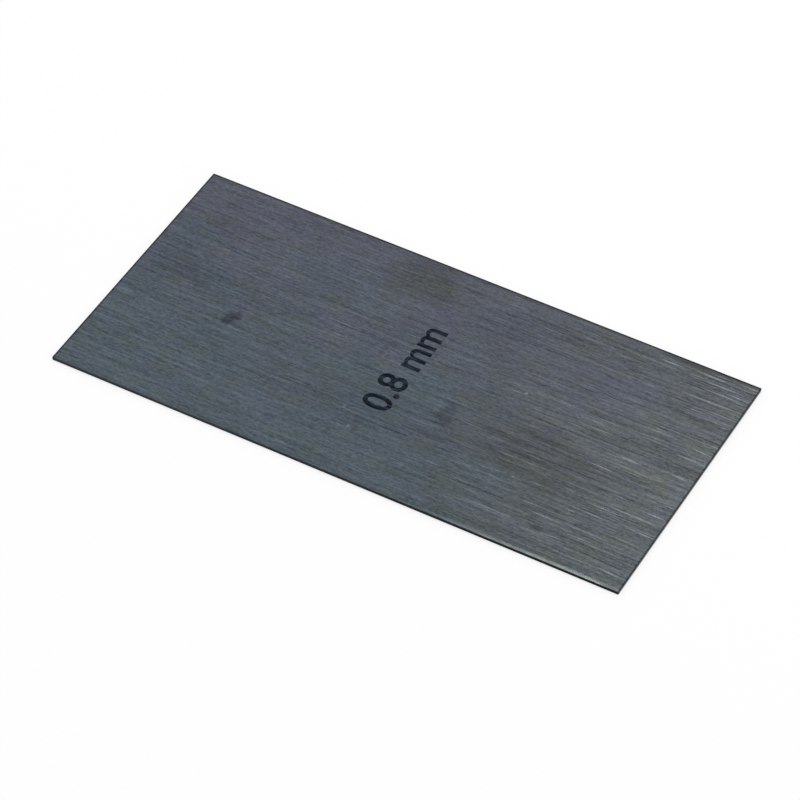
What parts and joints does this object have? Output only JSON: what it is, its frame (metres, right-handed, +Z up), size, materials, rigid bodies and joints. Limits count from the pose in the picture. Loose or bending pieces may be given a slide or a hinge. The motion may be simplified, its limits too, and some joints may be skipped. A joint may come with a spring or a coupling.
{
  "type": "cabinet scraper",
  "caption": "Thin rectangular card of brushed spring steel with square-ground long edges and sheared ends, held in both hands to scrape wood smooth.",
  "frame": {"origin": "under the middle of the card, on the face that it rests on", "axes": "+X along the two long scraping edges, +Y across the card from the front scraping edge to the back one, +Z up through the thickness, towards the face where the shear blade went in"},
  "size_m": [0.125, 0.062, 0.0008],
  "materials": {
    "strip_steel": "satin, linished lengthwise, dark slate grey with a faint oil film"
  },
  "bodies": {
    "root": {"scraper_card": "strip_steel"}
  },
  "joints": []
}
